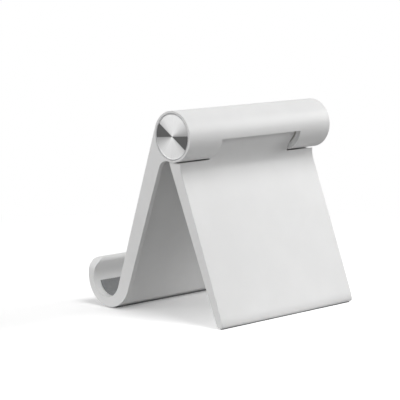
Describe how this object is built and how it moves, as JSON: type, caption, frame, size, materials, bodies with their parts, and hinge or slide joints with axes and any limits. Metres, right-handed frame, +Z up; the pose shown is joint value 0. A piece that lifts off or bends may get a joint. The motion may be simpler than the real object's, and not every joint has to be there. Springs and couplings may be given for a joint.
{
  "type": "tablet stand",
  "caption": "Folding desk stand for a tablet: a panel with a J-shaped hook and hinge barrel, and a rear leg on a friction hinge that nests into the panel's back.",
  "frame": {"origin": "on the floor, at the centre of the footprint of the open stand's bounding box", "axes": "+Z up, -Y the side a tablet faces, +X along the hinge towards the stand's left as its user sees it from behind"},
  "size_m": [0.1092, 0.101, 0.1116],
  "materials": {
    "front_panel": "fine matt white ABS",
    "leg_panel": "fine matt white ABS",
    "end_disc": "spun, fine concentric brushing",
    "silicone": "soft matt grey silicone",
    "hinge_steel": "turned steel",
    "spring_steel": "dark hardened spring steel",
    "bush_brass": "turned brass",
    "hinge_nylon": "natural nylon"
  },
  "bodies": {
    "front": {"front_panel": "front_panel", "face_pad_upper": "silicone", "face_pad_lower": "silicone", "heel_strip": "silicone", "end_disc_left": "end_disc", "hook_pad_left": "silicone", "hinge_carrier_left": "hinge_nylon", "hinge_bush_left": "bush_brass", "friction_disc_left": "hinge_steel", "end_disc_right": "end_disc", "hook_pad_right": "silicone", "hinge_carrier_right": "hinge_nylon", "hinge_bush_right": "bush_brass", "friction_disc_right": "hinge_steel"},
    "leg": {"leg_panel": "leg_panel", "foot_strip": "silicone", "hinge_shaft": "hinge_steel", "knuckle_sleeve_left": "hinge_nylon", "pressure_washer_left": "hinge_steel", "disc_spring_left_1": "spring_steel", "disc_spring_left_2": "spring_steel", "lock_nut_left": "hinge_steel", "knuckle_sleeve_right": "hinge_nylon", "pressure_washer_right": "hinge_steel", "disc_spring_right_1": "spring_steel", "disc_spring_right_2": "spring_steel", "lock_nut_right": "hinge_steel"}
  },
  "joints": [
    {"name": "leg_hinge", "type": "hinge", "parent": "front", "child": "leg", "pos_m": [0, 0.01646, 0.0981], "axis": [1, 0, 0], "range_deg": [-40.5, 58]}
  ]
}
